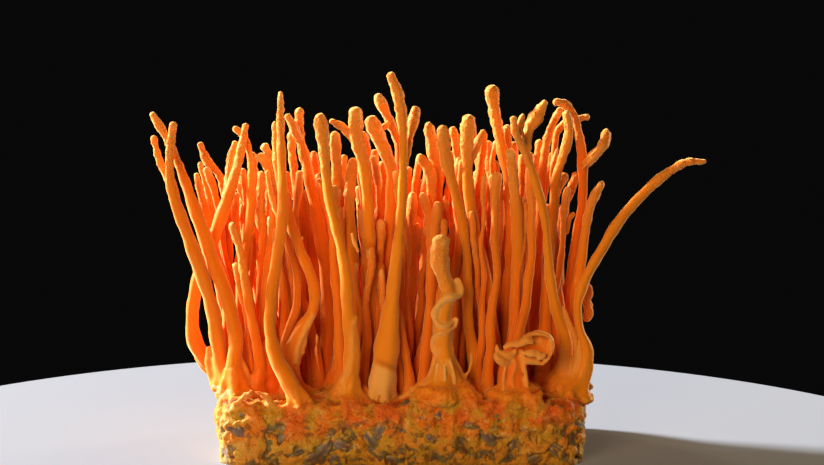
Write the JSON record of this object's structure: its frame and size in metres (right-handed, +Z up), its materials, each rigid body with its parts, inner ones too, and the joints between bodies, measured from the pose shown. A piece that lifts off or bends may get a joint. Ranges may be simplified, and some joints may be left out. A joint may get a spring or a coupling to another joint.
{
  "type": "cordyceps mushroom bunch",
  "caption": "Bunch of slender orange club-tipped mushroom stems, upright and crowded, rooted in a flat-bottomed block of bound grain.",
  "frame": {"origin": "middle of the flat underside of the grain block", "axes": "+Z up along the stems, +X along the block's length to the right as seen from the front, -Y towards the front"},
  "size_m": [0.1368, 0.049, 0.0964],
  "materials": {
    "stem_orange": "satin",
    "stem_ochre": "satin",
    "grain_substrate": "matt"
  },
  "bodies": {
    "root": {"arched_stem": "stem_ochre", "arched_stem_branch": "stem_ochre", "bowed_stem": "stem_ochre", "broad_stem": "stem_ochre", "coiled_stem": "stem_ochre", "curled_stem": "stem_ochre", "curled_stem_branch": "stem_ochre", "hooked_stem": "stem_orange", "left_stem_01": "stem_orange", "left_stem_02": "stem_orange", "left_stem_02_branch": "stem_orange", "left_stem_03": "stem_orange", "left_stem_04": "stem_orange", "left_stem_05": "stem_orange", "left_stem_06": "stem_orange", "left_stem_07": "stem_orange", "left_stem_08": "stem_orange", "left_stem_09": "stem_orange", "left_stem_10": "stem_orange", "loop_stem": "stem_orange", "loop_stem_branch": "stem_orange", "middle_stem_01": "stem_ochre", "middle_stem_01_branch": "stem_ochre", "middle_stem_02": "stem_ochre", "middle_stem_03": "stem_ochre", "middle_stem_04": "stem_ochre", "middle_stem_05": "stem_ochre", "middle_stem_06": "stem_ochre", "middle_stem_06_branch": "stem_ochre", "middle_stem_07": "stem_ochre", "middle_stem_08": "stem_ochre", "middle_stem_09": "stem_ochre", "middle_stem_10": "stem_ochre", "middle_stem_11": "stem_ochre", "middle_stem_12": "stem_ochre", "middle_stem_13": "stem_ochre", "middle_stem_13_branch": "stem_ochre", "middle_stem_14": "stem_ochre", "middle_stem_15": "stem_ochre", "outlying_stem": "stem_ochre", "rear_stem_01": "stem_ochre", "rear_stem_02": "stem_ochre", "rear_stem_03": "stem_ochre", "right_stem_01": "stem_ochre", "right_stem_01_branch": "stem_ochre", "right_stem_02": "stem_ochre", "right_stem_03": "stem_ochre", "right_stem_03_branch": "stem_ochre", "right_stem_03_paddle": "stem_ochre", "right_stem_04": "stem_ochre", "right_stem_05": "stem_ochre", "right_stem_06": "stem_ochre", "right_stem_07": "stem_ochre", "right_stem_08": "stem_ochre", "right_stem_09": "stem_ochre", "right_stem_10": "stem_ochre", "spear_stem": "stem_ochre", "substrate_block": "grain_substrate", "tallest_stem": "stem_ochre", "tallest_stem_branch": "stem_ochre"}
  },
  "joints": []
}
